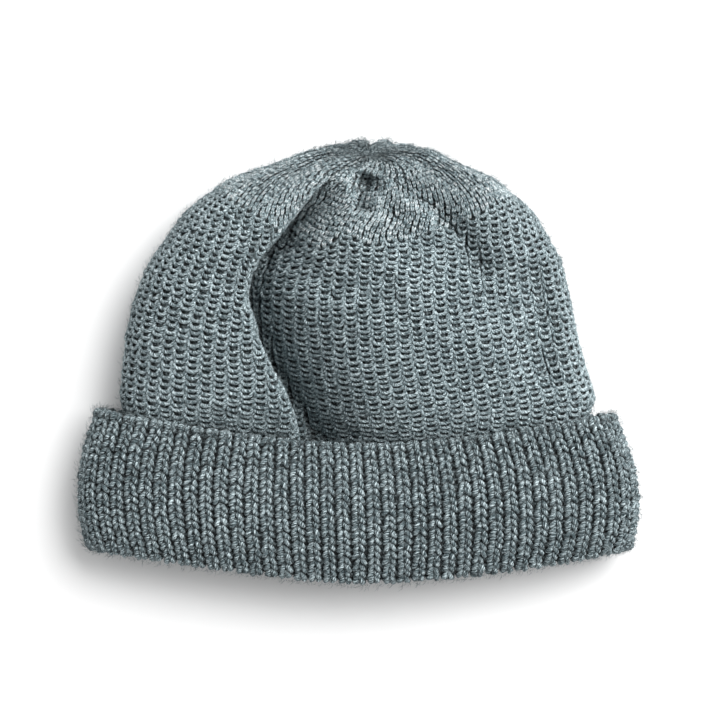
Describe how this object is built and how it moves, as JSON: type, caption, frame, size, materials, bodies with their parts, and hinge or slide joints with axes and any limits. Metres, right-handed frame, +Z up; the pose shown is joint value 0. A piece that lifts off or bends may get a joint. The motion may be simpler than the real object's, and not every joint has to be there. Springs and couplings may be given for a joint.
{
  "type": "wool beanie",
  "caption": "Wool beanie in heathered grey-teal rib knit with a turned-up cuff and a gathered top, lying on its back.",
  "frame": {"origin": "on the floor under the middle of the hat's box, where the hat lies on its back", "axes": "+X across the hat to the wearer's side that is right in a view of its front, +Y from the opening toward the gathered top, +Z up, out of the hat's front"},
  "size_m": [0.2374, 0.188, 0.0484],
  "materials": {
    "wool_knit": "matt heathered wool"
  },
  "bodies": {
    "root": {"crown": "wool_knit", "cuff": "wool_knit"}
  },
  "joints": []
}
